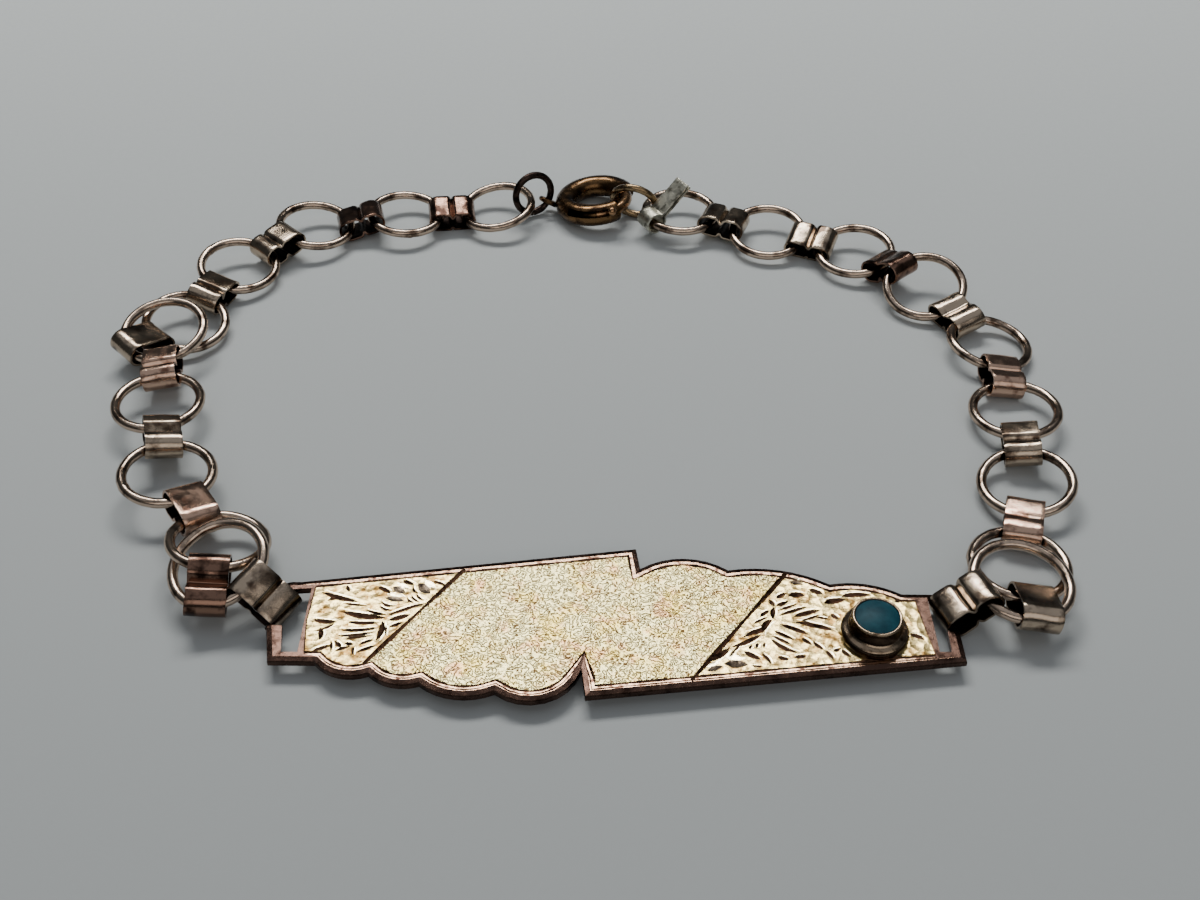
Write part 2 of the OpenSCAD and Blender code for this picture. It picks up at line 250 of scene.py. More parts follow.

# Pieces

# A finished piece in its body; edges sharper than smooth, in degrees, stay sharp
def makePiece(name, bm, materials, nodes, body="bracelet", smooth=40, openSheet=False):
    bmesh.ops.recalc_face_normals(bm, faces=bm.faces)
    if openSheet:  # its outside is the side that looks away from the middle
        middle = sum((f.calc_center_median() for f in bm.faces), Vector()) / len(bm.faces)
        if sum(f.calc_area() * f.normal.dot(f.calc_center_median() - middle) for f in bm.faces) < 0:
            bmesh.ops.reverse_faces(bm, faces=bm.faces)
    for face in bm.faces:
        face.smooth = True
    for edge in bm.edges:
        if len(edge.link_faces) == 2 and edge.calc_face_angle() > math.radians(smooth):
            edge.smooth = False
    mesh = bpy.data.meshes.new(name)
    bm.to_mesh(mesh)
    bm.free()
    piece = bpy.data.objects.new(name, mesh)
    bpy.context.scene.collection.objects.link(piece)
    for material in materials:
        mesh.materials.append(finishes[material])
    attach(piece, body)
    if nodes:
        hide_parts(*nodes)
    return piece


def cadFrame(name):  # a CAD solid's centre and its main directions, the longest first
    mesh = frame["nodes"][name].data
    points = np.array([v.co for v in mesh.vertices])
    corners = np.array([p.vertices for p in mesh.polygons])
    a, b, c = (points[corners[:, i]] for i in range(3))
    area = np.linalg.norm(np.cross(b - a, c - a), axis=1) / 2
    centre = ((a + b + c) / 3 * area[:, None]).sum(0) / area.sum()
    a, b, c = a - centre, b - centre, c - centre
    moments = sum(np.einsum("n,ni,nj", area, p, p) for p in (a + b + c, a, b, c))
    directions = np.linalg.eigh(moments)[1]
    return Vector(centre), [Vector(directions[:, i]) for i in (2, 1, 0)]


def placement(origin, x, y, z):  # the matrix that takes a piece's own millimetres to its place
    turn = Matrix((x, y, z)).transposed().to_4x4()
    return Matrix.Translation(origin) @ turn @ Matrix.Scale(mm, 4)


def aboutZ(degrees):
    return Matrix.Rotation(math.radians(degrees), 4, "Z")


def newVerts(made):  # the vertices among what an operator made
    return [v for v in made if isinstance(v, bmesh.types.BMVert)]


def wireRing(radius, wire, steps=84, sides=16):  # a closed ring of round wire about Z
    bm = bmesh.new()
    stand = Matrix.Translation((radius, 0, 0)) @ Matrix.Rotation(math.pi / 2, 4, "X")
    section = bmesh.ops.create_circle(bm, segments=sides, radius=wire / 2, matrix=stand)
    bmesh.ops.spin(bm, geom=section["verts"] + bm.edges[:], cent=(0, 0, 0), axis=(0, 0, 1),
                   angle=math.tau, steps=steps, use_merge=True)
    bmesh.ops.remove_doubles(bm, verts=bm.verts, dist=0.001)
    return bm


def swellAlong(bm, radius, seamAt, seed, dent, seam):  # hand-drawn wire with the seam of its joint
    seamReach = 0.22
    for vert in bm.verts:
        angle = math.atan2(vert.co.y, vert.co.x)
        middle = Vector((math.cos(angle), math.sin(angle), 0)) * radius
        out = vert.co - middle
        away = abs((angle - seamAt + math.pi) % math.tau - math.pi) * radius
        swell = dent * noise.noise(vert.co * 1.7 + Vector((seed * 3.1, 0, 0)))
        uneven = 0.6 + noise.noise(vert.co * 5 + Vector((0, seed, 0)))
        swell += seam * math.exp(-(away / seamReach) ** 2) * uneven
        vert.co = middle + out * (1 + swell / out.length)


ringShape = {
    "count": 19,
    "radius": 2.675,                                 # of the wire's middle line
    "wire": 0.63,
    "dent": 0.012,                                   # how uneven the wire is
    "seam": 0.035,                                   # how far the solder stands up
    "seamDirections": {3: 215, 17: 150, 5: 250, 16: 60},   # in degrees, where a seam is seen
    "otherSeams": (40, 67),                          # elsewhere: the first, and the turn between rings
}


def chainRing(number):
    centre, directions = cadFrame(f"ring_{number}")
    axis = directions[2] if directions[2].z > 0 else -directions[2]
    x = Vector((0, 1, 0)).cross(axis).normalized()
    bm = wireRing(ringShape["radius"], ringShape["wire"])
    first, turn = ringShape["otherSeams"]
    seamAt = ringShape["seamDirections"].get(number, first + turn * number)
    swellAlong(bm, ringShape["radius"], math.radians(seamAt), number, ringShape["dent"],
               ringShape["seam"])
    bm.transform(placement(centre, x, axis.cross(x), axis))
    makePiece(f"ring{number}", bm, ["wire"], [f"ring_{number}"])


for number in range(1, ringShape["count"] + 1):
    chainRing(number)
print("rings done")

strapShape = {
    "length": 3.60,                # over both barrels
    "height": 1.68,                # over a barrel
    "width": 2.22,
    "sheet": 0.15,
    "barrelRound": 0.80,           # rounding of the barrels' corners
    "lowerCrease": (0.2, 0.4),     # half width and depth of the crease underneath
    "shoulder": 0.16,              # rounding beside a crease
    "wobble": (0.035, 0.9),        # how untrue the sheet is, and how often it turns in a millimetre
    "edge": 0.03,                  # wear along the sheet's edges
    "barrelSteps": 9, "shoulderSteps": 4, "widthCuts": 7,
    "creased": 0.7,                # the creases lie within this distance of the middle
    "near": (0.4, -1, 0),          # the end of a strap that counts as the near one
}

# Each strap's upper side: how deep its crease is, its half width, how far it lies from the middle
# towards the near end, and the strap's own roll in degrees; a depth of 0 leaves the sheet flat
upperSides = {
    1: (0.30, 0.16, 0.10, 6), 2: (0.55, 0.46, 0.00, -9), 3: (0.00, 0.00, 0.00, 0),
    4: (0.62, 0.50, 0.10, -10), 5: (0.50, 0.30, 0.40, 4), 6: (0.00, 0.00, 0.00, 3),
    7: (0.60, 0.20, 0.50, -4), 8: (0.30, 0.24, 0.30, 7), 9: (0.34, 0.24, 0.10, -6),
    10: (0.44, 0.22, 0.00, 8), 12: (0.46, 0.30, 0.00, -8), 13: (0.46, 0.26, 0.10, 8),
    14: (0.14, 0.30, 0.10, -9), 15: (0.34, 0.60, 0.00, 6), 16: (0.30, 0.20, 0.20, -6),
    17: (0.55, 0.28, 0.35, 5), 18: (0.08, 0.40, 0.20, 0), 19: (0.00, 0.00, 0.00, -8),
    20: (0.50, 0.30, 0.10, -5),
}
rosyStraps = (3, 5, 16, 18)    # rubbed pink
brownStraps = (2, 9, 10, 14)   # under a brown skin


def acrossSheet(bm, atLeast):  # the edges that run across the strap, from side to side
    return [e for e in bm.edges if abs(e.verts[0].co.z - e.verts[1].co.z) > atLeast]


def strapSheet(depth, halfWidth, place, roll, seed):  # the folded sheet's middle surface
    end = strapShape["length"] / 2 - strapShape["sheet"] / 2
    top = strapShape["height"] / 2 - strapShape["sheet"] / 2
    half = strapShape["width"] / 2
    crease, rise = strapShape["lowerCrease"]
    path = [(end, top), (end, -top), (crease, -top), (0, -top + rise),
            (-crease, -top), (-end, -top), (-end, top)]
    if depth:
        path += [(place - halfWidth, top), (place, top - depth), (place + halfWidth, top)]
    bm = bmesh.new()
    verts = [bm.verts.new((x, y, -half)) for x, y in path]
    edges = [bm.edges.new((a, b)) for a, b in zip(verts, verts[1:] + verts[:1])]
    side = bmesh.ops.extrude_edge_only(bm, edges=edges)["geom"]
    bmesh.ops.translate(bm, verts=newVerts(side), vec=(0, 0, 2 * half))
    barrel = [e for e in acrossSheet(bm, half) if abs(abs(e.verts[0].co.x) - end) < 0.01]
    bmesh.ops.bevel(bm, geom=barrel, offset=min(strapShape["barrelRound"], top - 0.01), affect="EDGES",
                    segments=strapShape["barrelSteps"], profile=0.5, material=-1)
    inner = [e for e in acrossSheet(bm, half)
             if abs(e.verts[0].co.x) < strapShape["creased"] and e.is_manifold
             and e.calc_face_angle() > 0.1]
    bmesh.ops.bevel(bm, geom=inner, offset=strapShape["shoulder"], affect="EDGES",
                    segments=strapShape["shoulderSteps"], profile=0.5, material=-1, clamp_overlap=True)
    bmesh.ops.subdivide_edges(bm, edges=acrossSheet(bm, half), cuts=strapShape["widthCuts"],
                              use_grid_fill=True)
    reach, often = strapShape["wobble"]
    for vert in bm.verts:  # hand-bent sheet is never quite true
        vert.co += reach * noise.noise_vector(vert.co * often + Vector((seed * 2.3, 0, 0)))
    tipped = Matrix.Rotation(math.radians(roll), 3, "X")
    bmesh.ops.rotate(bm, verts=bm.verts, cent=(0, 0, 0), matrix=tipped)
    return bm


def finishSheet(piece, thickness, inside):  # gives a sheet its wall, its inside finish, and worn edges
    wall = piece.modifiers.new("wall", "SOLIDIFY")
    wall.thickness = thickness * mm
    wall.offset = 0
    wall.use_even_offset = True
    wall.material_offset = inside
    wall.material_offset_rim = 0
    wear = piece.modifiers.new("worn edges", "BEVEL")
    wear.width = strapShape["edge"] * mm
    wear.segments = 2
    wear.limit_method = "ANGLE"
    wear.angle_limit = math.radians(50)


def chainStrap(number):
    centre, directions = cadFrame(f"strap_{number}")
    x, y = directions[0], directions[2]
    y = y if y.z > 0 else -y
    x = x if x.dot(Vector(strapShape["near"])) > 0 else -x
    bm = strapSheet(*upperSides[number], number)
    bm.transform(placement(centre, x, y, x.cross(y)))
    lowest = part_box(f"strap_{number}")[0].z + strapShape["sheet"] / 2 * mm
    for vert in bm.verts:  # a rolled strap still rests on the floor
        vert.co.z = max(vert.co.z, lowest)
    skin = "rosy" if number in rosyStraps else "brown" if number in brownStraps else "strap"
    # the inside of the sheet takes the fold finish: oxide darkened further as painted shade
    piece = makePiece(f"strap{number}", bm, [skin, "fold"], [f"strap_{number}"],
                      openSheet=True)
    finishSheet(piece, strapShape["sheet"], 1)


for number in upperSides:
    chainStrap(number)

openStrap = {
    "barrel": 1.68, "tail": 2.88, "gap": 0.12, "sheet": 0.15, "width": 1.48,
    "slack": 0.01,                 # between the barrel and the start of the tail
    "cornersApart": 0.3,           # the tail's two corners are at least this far from each other
    "wobble": (0.05, 0.8),
    "barrelSteps": 28, "tailCuts": 9, "widthCuts": 7,
}


def openFrame():  # strap 11's barrel centre, tail direction and barrel axis, from its CAD solid
    centre, directions = cadFrame("strap_11")
    points = np.array([v.co for v in frame["nodes"]["strap_11"].data.vertices])
    spans = [np.abs((points - np.array(centre)) @ np.array(d)) for d in directions]
    ends = [np.std(s) / s.max() for s in spans]   # the barrel's axis has every vertex at its two ends
    axis = directions[int(np.argmin(ends))]
    flat = points - np.outer((points - np.array(centre)) @ np.array(axis), np.array(axis))
    far = flat[np.argsort(-np.linalg.norm(flat - np.array(centre), axis=1))]
    first = far[0]   # one corner of the tail's tip, and the other corner
    second = next(p for p in far if np.linalg.norm(p - first) > openStrap["cornersApart"] * mm)
    tip = Vector((first + second) / 2)
    across = Vector(first - second).normalized()
    x = axis.cross(across).normalized()
    x = x if x.dot(tip - centre) > 0 else -x
    barrelCentre = tip - x * (openStrap["barrel"] / 2 + openStrap["slack"] + openStrap["tail"]) * mm
    y = across if across.z > 0 else -across
    return barrelCentre, x, y, x.cross(y)


def tailStrap():
    radius = (openStrap["barrel"] - openStrap["sheet"]) / 2
    half = openStrap["gap"] / 2 + openStrap["sheet"] / 2
    reach = openStrap["barrel"] / 2 + openStrap["tail"]
    width = openStrap["width"]
    halfOpening = math.asin(half / radius)
    bm = bmesh.new()
    start = bm.verts.new((radius * math.cos(halfOpening), half, -width / 2))
    bmesh.ops.spin(bm, geom=[start], cent=(0, 0, -width / 2), axis=(0, 0, 1),
                   angle=math.tau - 2 * halfOpening, steps=openStrap["barrelSteps"])
    bm.verts.ensure_lookup_table()
    for vert in [v for v in bm.verts if len(v.link_edges) == 1]:
        tip = bm.verts.new((reach, vert.co.y, vert.co.z))
        bm.edges.new((vert, tip))
    side = bmesh.ops.extrude_edge_only(bm, edges=bm.edges[:])["geom"]
    bmesh.ops.translate(bm, verts=newVerts(side), vec=(0, 0, width))
    long = [e for e in bm.edges if abs(e.verts[0].co.x - e.verts[1].co.x) > 1]
    bmesh.ops.subdivide_edges(bm, edges=long, cuts=openStrap["tailCuts"], use_grid_fill=True)
    bmesh.ops.subdivide_edges(bm, edges=acrossSheet(bm, width / 2), cuts=openStrap["widthCuts"],
                              use_grid_fill=True)
    bend, often = openStrap["wobble"]
    for vert in bm.verts:
        vert.co += bend * noise.noise_vector(vert.co * often + Vector((11, 0, 0)))
    bm.transform(placement(*openFrame()))
    piece = makePiece("strap11", bm, ["tail", "fold"], ["strap_11"], openSheet=True)
    finishSheet(piece, openStrap["sheet"], 0)


tailStrap()
print("straps done")

plateShape = {
    "origin": (2.346, -20.469),   # the plate's own origin in the bracelet's frame
    "thickness": 0.42,
    "corner": (0.04, 0.08),       # width and drop of the rounded edge
    "slope": (0.28, 0.06),        # width and drop of the gently falling rim inside it
    "upperRim": 0.56,             # from the edge to the border line, on the far edge
    "lowerRim": 0.60,             # the same on the near edge
    "secondLine": 0.40,           # the near edge has a thinner line outside it
    "field": (-16.75, 17.4),      # where the engraved field starts and ends along the plate
    "leftLine": -16.8,            # the middle of the line at its left end
    "secondFrom": -16.0,          # where the thinner line starts
    "ridge": (-16.4, 16.8),       # the ends of the band outside the field that is painted bright as a highlight
    "line": 0.09,                 # half width of the border line
    "secondShare": 0.6,           # the thinner line's share of that, and the end lines' share
    "endShare": 0.5,
    "linePressure": (1.0, 0.3, 1.7),       # the hand on the tool: mean, sway, pace between points
    "diagonal": 0.17,             # half width of the two diagonals
    "diagonalPressure": (0.8, 0.2, 0.9),
    "opened": 1.70,               # the mouth of a cut over the width of its dark line
    "cutDepth": 0.50,             # depth of a cut over its half width
    "scoopDepth": 0.16,           # the same for the bright scoops
    "leafDepth": 0.24,            # the same for the scoops, painted bright as highlights
    "scoopAside": (1.3, 0.04),    # from a stroke to its scoop: a share of its half width, and more
    "scoopWidth": (0.6, 0.04),    # the scoop's half width, in the same way
    "broad": 0.16,                # a stroke of this half width or more is a broad leaf
    "lift": 0.01,                 # the cutters' middle lies this far above the sheet
}


def bow(start, end, rise, steps=8):  # an arc that bulges to the left of the way from start to end
    a, b = Vector(start), Vector(end)
    half = (b - a).length / 2
    radius = (half * half + rise * rise) / (2 * rise)
    left = Vector((a.y - b.y, b.x - a.x)).normalized()
    centre = (a + b) / 2 - left * (radius - rise)
    sweep = 2 * math.asin(half / radius)
    first = math.atan2(a.y - centre.y, a.x - centre.x)
    turns = [first - sweep * k / steps for k in range(steps + 1)]
    return [centre + radius * Vector((math.cos(turn), math.sin(turn))) for turn in turns]


# The plate's outline, clockwise: the stepped far edge, then the near edge with its scallops
upperEdge = (bow((-18.73, 2.74), (-17.55, 2.94), 0.1, 2)
             + [Vector((1.4, 5.5))]
             + bow((1.6, 3.95), (6.62, 3.83), 0.85)
             + bow((6.62, 3.83), (12.27, 2.75), 0.55)[1:]
             + bow((12.27, 2.75), (16.2, 2.0), 0.4)[1:]
             + bow((18.1, 1.98), (18.95, 1.8), 0.12, 3))
lowerEdge = ([Vector((18.92, -2.83)), Vector((-1.48, -5.15)), Vector((-1.7, -3.4))]
             + bow((-1.7, -3.4), (-6.24, -4.76), 1.3)[1:]
             + bow((-6.24, -4.76), (-10.25, -4.23), 0.6)[1:]
             + bow((-10.25, -4.23), (-13.0, -3.57), 0.42)[1:]
             + bow((-13.0, -3.57), (-15.96, -2.83), 0.5)[1:]
             + [Vector((-18.5, -2.8)), Vector((-19.0, -0.3))])
leftSlot = [(-17.85, -2.2), (-18.1, -0.35), (-19.5, -0.3), (-19.5, 2.9),
            (-18.0, 2.3), (-16.9, 2.4), (-16.95, -2.2)]
rightSlot = [(17.55, -2.2), (18.2, -2.2), (18.25, -0.7), (19.5, -0.7), (19.5, 1.8), (17.55, 1.75)]
leftDiagonal = ((-8.4, 3.85), (-13.3, -3.0))
rightDiagonal = ((9.85, 3.5), (4.1, -4.15))

# Round the centre panel, well outside the border lines between the two diagonals
centrePanel = [leftDiagonal[0], (1.2, 5.6), (1.6, 4.6), (9.9, 4.6), rightDiagonal[0], rightDiagonal[1],
               (3.0, -5.5), (-1.6, -5.6), (-13.6, -5.0), leftDiagonal[1]]


def stepped(run, longest=0.8):  # the same run with its long straights cut into short steps
    points = [Vector(run[0])]
    for a, b in zip(run, run[1:]):
        a, b = Vector(a), Vector(b)
        count = max(1, math.ceil((b - a).length / longest))
        points += [a.lerp(b, k / count) for k in range(1, count + 1)]
    return points


def inwards(run, distance, fromX, toX):  # the outline moved into the plate, between two places
    run = stepped(run)
    moved = []
    for k, point in enumerate(run):
        ways = [(run[j + 1] - run[j]).normalized() for j in (k - 1, k) if 0 <= j < len(run) - 1]
        way = sum(ways, Vector((0, 0))).normalized()
        sharpness = max(0.5, ways[0].dot(way))
        moved.append(point + Vector((way.y, -way.x)) * distance / sharpness)
    return [p for p in moved if fromX <= p.x <= toX]


upperBorder = inwards(upperEdge, plateShape["upperRim"], *plateShape["field"])
lowerBorder = inwards(lowerEdge, plateShape["lowerRim"], *plateShape["field"])
secondBorder = inwards(lowerEdge, plateShape["secondLine"], plateShape["secondFrom"],
                       plateShape["field"][1])


def prism(outline, low, high):
    bm = bmesh.new()
    face = bm.faces.new([bm.verts.new((x, y, low)) for x, y in outline])
    top = bmesh.ops.extrude_face_region(bm, geom=[face])["geom"]
    bmesh.ops.translate(bm, verts=newVerts(top), vec=(0, 0, high - low))
    bmesh.ops.recalc_face_normals(bm, faces=bm.faces)
    return bm


# The side panels' cuts in the plate's own millimetres, as the graver went: from x, y to x, y,
# half width, and how far the stroke bows to its left as a share of its length
engraved = {
    "leftFan": [
        (-15.0, 0.65, -12.4, 0.2, 0.14, -0.04), (-13.7, 0.8, -12.4, 0.4, 0.07, -0.05),
        (-15.05, 1.25, -13.6, 1.05, 0.06, 0.0), (-14.6, -0.1, -12.7, -0.15, 0.09, -0.03),
        (-15.0, -0.65, -12.75, -0.5, 0.08, -0.05), (-15.0, -1.1, -12.85, -0.8, 0.07, -0.03),
        (-14.75, -1.35, -12.95, -1.05, 0.06, 0.0), (-13.75, -1.75, -12.95, -1.35, 0.07, 0.05),
        (-13.85, -2.3, -12.7, -1.75, 0.08, 0.04),
    ],
    "leftLeaves": [
        (-12.35, 2.5, -11.6, 2.0, 0.25, 0.0), (-11.85, 3.0, -11.15, 2.6, 0.1, 0.0),
        (-10.95, 2.75, -10.2, 1.95, 0.3, 0.0), (-11.2, 2.6, -10.8, 1.95, 0.05, -0.2),
        (-10.1, 2.9, -9.4, 2.55, 0.07, 0.05), (-12.7, 1.65, -11.6, 1.4, 0.22, 0.05),
        (-11.5, 1.7, -11.0, 1.25, 0.05, -0.1), (-11.25, 1.85, -10.7, 1.3, 0.05, -0.1),
        (-11.0, 2.0, -10.45, 1.4, 0.05, -0.1), (-12.9, 1.4, -12.0, 1.05, 0.06, -0.15),
        (-12.95, 1.1, -12.2, 0.75, 0.06, -0.15), (-13.2, 2.5, -12.4, 1.95, 0.1, 0.05),
    ],
    "leftStem": [
        (-12.4, 0.35, -10.25, 1.3, 0.08, 0.03), (-12.35, 0.0, -11.1, 0.45, 0.12, 0.0),
        (-12.25, -0.5, -11.5, -0.1, 0.08, 0.0), (-12.65, 0.0, -12.85, -1.45, 0.12, 0.1),
        (-12.4, -0.3, -12.35, -1.1, 0.05, 0.0),
    ],
    "leftEnd": [
        (-16.3, 2.1, -14.1, 1.35, 0.12, -0.03), (-15.9, 1.4, -15.0, 1.7, 0.07, 0.1),
        (-14.95, 2.6, -14.75, 2.1, 0.08, 0.0), (-16.5, 0.1, -15.1, -0.1, 0.11, -0.05),
        (-15.2, -0.15, -16.4, -0.75, 0.06, 0.1), (-16.0, -0.5, -15.9, -1.4, 0.11, 0.1),
        (-16.2, -2.2, -15.1, -1.75, 0.09, 0.05), (-15.3, -1.4, -15.2, -2.2, 0.06, 0.1),
        (-15.0, -2.2, -14.1, -1.8, 0.07, 0.05), (-14.0, -1.85, -13.95, -2.45, 0.06, 0.0),
        (-14.5, -1.6, -14.0, -1.7, 0.09, 0.0), (-15.05, -1.45, -14.6, -1.95, 0.09, 0.0),
    ],
    "rightStem": [
        (8.7, 1.5, 8.95, 1.0, 0.09, 0.1), (8.95, 1.0, 8.8, 0.1, 0.1, -0.05),
        (8.8, 0.1, 8.1, -0.95, 0.12, -0.12), (8.1, -0.95, 6.3, -1.9, 0.1, 0.05),
        (6.3, -1.9, 5.2, -2.85, 0.12, 0.03), (8.1, 0.25, 8.7, 0.75, 0.08, 0.05),
        (7.65, -0.3, 8.6, 0.25, 0.06, 0.05), (7.25, -0.95, 8.55, -0.4, 0.12, -0.05),
        (7.0, -1.2, 8.1, -0.7, 0.06, 0.0), (6.85, -1.75, 6.45, -2.2, 0.05, 0.0),
        (6.55, -2.1, 6.25, -2.5, 0.05, 0.0), (7.5, -1.7, 7.3, -2.05, 0.05, 0.0),
        (7.85, -1.55, 7.7, -1.95, 0.06, 0.0), (8.2, -1.55, 8.1, -1.95, 0.05, 0.0),
    ],
    "rightFan": [
        (9.1, 1.6, 9.75, 2.05, 0.1, 0.0), (9.05, 1.05, 9.8, 1.4, 0.09, 0.0),
        (9.0, 0.65, 10.35, 1.25, 0.06, 0.0), (9.1, 0.3, 10.9, 1.0, 0.08, 0.03),
        (9.95, 0.25, 11.5, 0.75, 0.12, 0.03), (10.3, -0.05, 11.45, 0.4, 0.06, 0.0),
        (9.1, -0.25, 10.7, -1.05, 0.11, 0.03), (10.0, -0.1, 12.15, -0.75, 0.12, 0.03),
        (8.75, -0.7, 9.85, -1.4, 0.08, 0.0), (8.6, -1.05, 9.7, -1.75, 0.07, 0.0),
        (8.55, -1.3, 10.0, -2.3, 0.1, -0.08), (10.2, -1.2, 10.75, -1.75, 0.09, 0.0),
        (10.8, -1.5, 11.35, -2.1, 0.08, 0.0), (11.35, -2.1, 11.75, -2.75, 0.08, 0.1),
        (12.3, -2.0, 12.75, -2.55, 0.08, -0.1), (11.8, -2.2, 12.3, -1.95, 0.08, 0.0),
        (11.2, 0.25, 11.85, 0.1, 0.06, 0.0), (12.0, 0.5, 12.4, 0.1, 0.09, 0.0),
    ],
    "rightLeaves": [
        (11.7, 1.25, 13.0, 1.5, 0.15, 0.05), (12.7, 1.75, 14.5, 1.85, 0.12, 0.05),
        (9.8, 1.8, 10.75, 1.8, 0.15, 0.1), (11.0, 2.3, 11.8, 1.95, 0.12, 0.0),
        (9.95, 2.85, 10.75, 2.65, 0.18, 0.05), (15.65, 1.4, 16.1, 1.4, 0.07, 0.0),
        (4.95, -3.5, 5.85, -3.15, 0.18, 0.0), (5.9, -3.0, 7.2, -3.05, 0.3, 0.0),
        (7.3, -3.15, 8.0, -3.2, 0.05, 0.0), (7.0, -2.15, 7.9, -2.75, 0.12, 0.0),
        (7.95, -2.3, 8.4, -3.1, 0.07, 0.1), (8.8, -2.55, 9.4, -2.75, 0.1, 0.0),
        (9.7, -2.6, 10.4, -2.45, 0.1, 0.0), (16.1, -1.0, 16.9, -1.4, 0.1, 0.1),
        (13.2, -2.7, 15.8, -2.5, 0.06, 0.0),
    ],
}
allStrokes = [stroke for group in engraved.values() for stroke in group]

# Along a leaf: how far, and the tool's width there as a share of the leaf's half width
leafTable = ((0, 0.05), (0.15, 0.55), (0.35, 1.0), (0.6, 0.95), (0.85, 0.5), (1, 0.05))


def boat(curve, points, halfWidths):  # one engraved stroke, and how wide the tool goes at its points
    spline = curve.splines.new("POLY")
    spline.points.add(len(points) - 1)
    for node, point, halfWidth in zip(spline.points, points, halfWidths):
        node.co = (point[0], point[1], plateShape["lift"], 1)
        node.radius = halfWidth


def leafBoat(curve, start, end, halfWidth, bend):  # a stroke that swells, tapers and bows
    a, b = Vector(start), Vector(end)
    side = Vector((a.y - b.y, b.x - a.x)) * bend
    points = [a.lerp(b, s) + side * 4 * s * (1 - s) for s, width in leafTable]
    boat(curve, points, [halfWidth * width for s, width in leafTable])


def evenBoat(curve, points, halfWidth, pressure):  # a long line, cut with a hand that sways
    mean, sway, pace = pressure
    boat(curve, points, [halfWidth * (mean + sway * math.sin(pace * k)) for k in range(len(points))])


def strokes(name):  # an empty curve whose points carry the half width of the cut
    curve = bpy.data.curves.new(name, "CURVE")
    curve.dimensions = "3D"
    curve.bevel_depth = 1.0
    curve.bevel_resolution = 0
    curve.use_fill_caps = True
    return curve


def asCutter(curve, depth):  # the strokes as one mesh of boats, this deep over their half width
    holder = bpy.data.objects.new(curve.name, curve)
    bpy.context.scene.collection.objects.link(holder)
    mesh = bpy.data.meshes.new_from_object(holder.evaluated_get(bpy.context.evaluated_depsgraph_get()))
    bpy.data.objects.remove(holder)
    bm = bmesh.new()
    bm.from_mesh(mesh)
    bmesh.ops.scale(bm, vec=(1, 1, depth), verts=bm.verts)
    bmesh.ops.remove_doubles(bm, verts=bm.verts, dist=0.0002)
    bmesh.ops.recalc_face_normals(bm, faces=bm.faces)
    return bm


def engraving():  # the border lines, the diagonals and the thin strokes
    curve = strokes("cuts")
    line, pressure = plateShape["line"], plateShape["linePressure"]
    evenBoat(curve, upperBorder, line, pressure)
    evenBoat(curve, lowerBorder, line, pressure)
    evenBoat(curve, secondBorder, line * plateShape["secondShare"], pressure)
    for run in (leftDiagonal, rightDiagonal):
        evenBoat(curve, stepped(run), plateShape["diagonal"], plateShape["diagonalPressure"])
    endLine = line * plateShape["endShare"]
    boat(curve, [upperBorder[0], (plateShape["leftLine"], 0), lowerBorder[-1]], [endLine] * 3)
    boat(curve, [upperBorder[-1], lowerBorder[0]], [endLine] * 2)
    for x1, y1, x2, y2, halfWidth, bend in allStrokes:
        if halfWidth < plateShape["broad"]:
            leafBoat(curve, (x1, y1), (x2, y2), halfWidth * plateShape["opened"], bend)
    return asCutter(curve, plateShape["cutDepth"])


def broadLeaves():  # the broad leaves are cut shallow, with the flat of the tool
    curve = strokes("broadLeaves")
    for x1, y1, x2, y2, halfWidth, bend in allStrokes:
        if halfWidth >= plateShape["broad"]:
            leafBoat(curve, (x1, y1), (x2, y2), halfWidth, bend)
    return asCutter(curve, plateShape["leafDepth"])


def scoops():  # the shallow scoops that flank the strokes, painted bright as highlights
    curve = strokes("scoops")
    asideShare, asideMore = plateShape["scoopAside"]
    widthShare, widthMore = plateShape["scoopWidth"]
    for x1, y1, x2, y2, halfWidth, bend in allStrokes:
        along = Vector((x2 - x1, y2 - y1))
        aside = Vector((-along.y, along.x)).normalized() * (halfWidth * asideShare + asideMore)
        leafBoat(curve, Vector((x1, y1)) + aside, Vector((x2, y2)) + aside,
                 halfWidth * widthShare + widthMore, bend)
    return asCutter(curve, plateShape["scoopDepth"])


def workpiece(name, bm, material):  # a plain object to cut, or to cut with
    mesh = bpy.data.meshes.new(name)
    bm.to_mesh(mesh)
    bm.free()
    mesh.materials.append(finishes[material])
    made = bpy.data.objects.new(name, mesh)
    bpy.context.scene.collection.objects.link(made)
    return made


def looseParts(tool):  # a collection with each loose part of the tool as an object of its own
    holder = bpy.data.collections.new(tool.name)
    bpy.context.scene.collection.children.link(holder)
    holder.objects.link(tool)
    bpy.context.scene.collection.objects.unlink(tool)
    bpy.ops.object.select_all(action="DESELECT")
    bpy.context.view_layer.objects.active = tool
    tool.select_set(True)
    bpy.ops.mesh.separate(type="LOOSE")
    return holder


def applied(piece):  # a piece's mesh with its modifiers applied
    return bpy.data.meshes.new_from_object(piece.evaluated_get(bpy.context.evaluated_depsgraph_get()))


def inPolygon(x, y, outline):
    inside = False
    for (x1, y1), (x2, y2) in zip(outline, list(outline[1:]) + [outline[0]]):
        if (y1 > y) != (y2 > y) and x < (x2 - x1) * (y - y1) / (y2 - y1) + x1:
            inside = not inside
    return inside


def bareSheet():  # the plate before it is engraved: its outline with a rounded edge and a falling rim
    corner, slope = plateShape["corner"], plateShape["slope"]
    outline = [tuple(p) for p in upperEdge + lowerEdge]
    sheet = prism(outline, -plateShape["thickness"], -corner[1] - slope[1])
    for width, rise in (corner, slope):
        top = max(sheet.faces, key=lambda f: f.calc_center_median().z)
        bmesh.ops.inset_region(sheet, faces=[top], thickness=width, depth=rise, use_even_offset=True)
    return sheet


